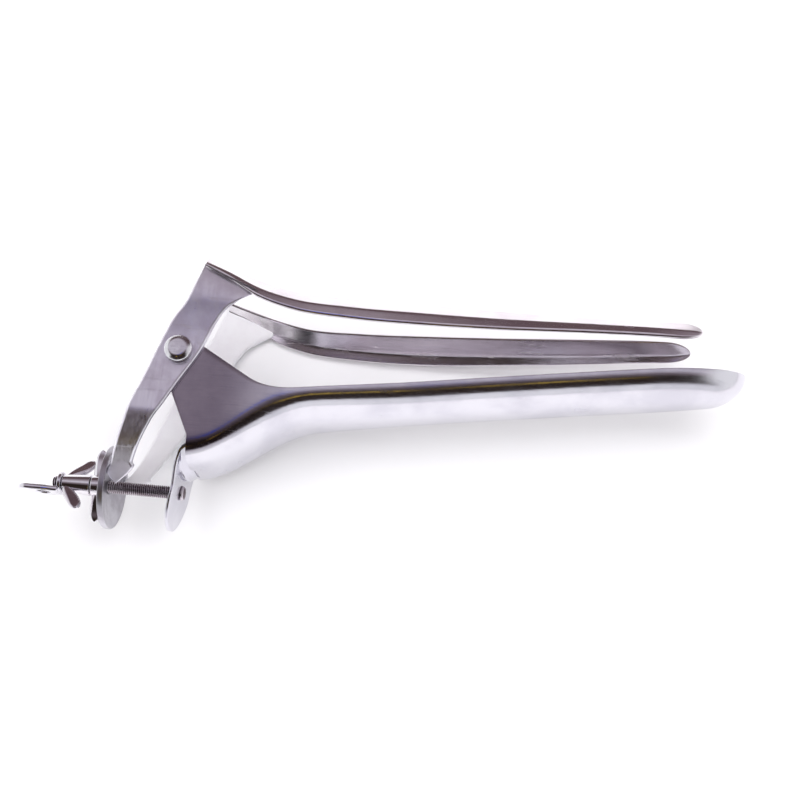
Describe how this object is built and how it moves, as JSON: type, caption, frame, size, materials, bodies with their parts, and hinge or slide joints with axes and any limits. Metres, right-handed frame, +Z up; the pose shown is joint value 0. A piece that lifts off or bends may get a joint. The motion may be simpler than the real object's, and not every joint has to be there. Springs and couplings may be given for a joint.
{
  "type": "bivalve speculum",
  "caption": "Hand-held retractor of polished steel: long curved blades on a riveted hinge, spread by wing nuts on a threaded rod behind the flange.",
  "frame": {"origin": "centre of the flat outer face of the left pivot rivet, the lowest point of the part as it lies on its left side", "axes": "+X along the lift screw towards the blade tips, +Y from the lower blade to the upper blades, +Z up, from the left side to the right"},
  "size_m": [0.2759, 0.1041, 0.0542],
  "materials": {
    "lower_blade_steel": "polished",
    "upper_blade_steel": "polished",
    "arm_steel": "satin, brushed along its length",
    "rivet_steel": "polished rim, brushed flat top",
    "screw_steel": "cut thread",
    "disc_steel": "satin, faint turned rings",
    "nut_chrome": "mirror",
    "tab_steel": "polished"
  },
  "bodies": {
    "base": {"lower_blade": "lower_blade_steel", "left_pivot_rivet": "rivet_steel", "right_pivot_rivet": "rivet_steel", "lift_screw": "screw_steel", "end_tab": "tab_steel"},
    "left_upper": {"left_blade": "upper_blade_steel", "left_arm": "arm_steel"},
    "right_upper": {"right_blade": "upper_blade_steel", "right_arm": "arm_steel"},
    "disc": {"thrust_disc": "disc_steel"},
    "lift_wing": {"lift_nut": "nut_chrome"},
    "lock_wing": {"lock_nut": "nut_chrome"}
  },
  "joints": [
    {"name": "lift_nut_turn", "type": "hinge", "parent": "disc", "child": "lift_wing", "pos_m": [-0.029, -0.0501, 0.0271], "axis": [1, 0, 0], "range_deg": [0, 4476]},
    {"name": "lock_nut_turn", "type": "hinge", "parent": "disc", "child": "lock_wing", "pos_m": [-0.037, -0.0501, 0.0271], "axis": [1, 0, 0], "range_deg": [0, 4500]},
    {"name": "disc_slide", "type": "slide", "parent": "base", "child": "disc", "axis": [1, 0, 0], "range_m": [0, 0.01]},
    {"name": "lift_left", "type": "hinge", "parent": "base", "child": "left_upper", "pos_m": [0, 0, 0.0271], "axis": [0, 0, 1], "range_deg": [0, 12.1]},
    {"name": "lift_right", "type": "hinge", "parent": "base", "child": "right_upper", "pos_m": [0, 0, 0.0271], "axis": [0, 0, 1], "range_deg": [0, 12.1]}
  ],
  "couplings": [
    {"joint": "lock_nut_turn", "follows": "lift_nut_turn", "ratio": 1},
    {"joint": "disc_slide", "follows": "lift_nut_turn", "m_per_rad": 0.00012732},
    {"joint": "lift_left", "follows": "lift_nut_turn", "ratio": 0.0026805},
    {"joint": "lift_right", "follows": "lift_nut_turn", "ratio": 0.0026805}
  ]
}
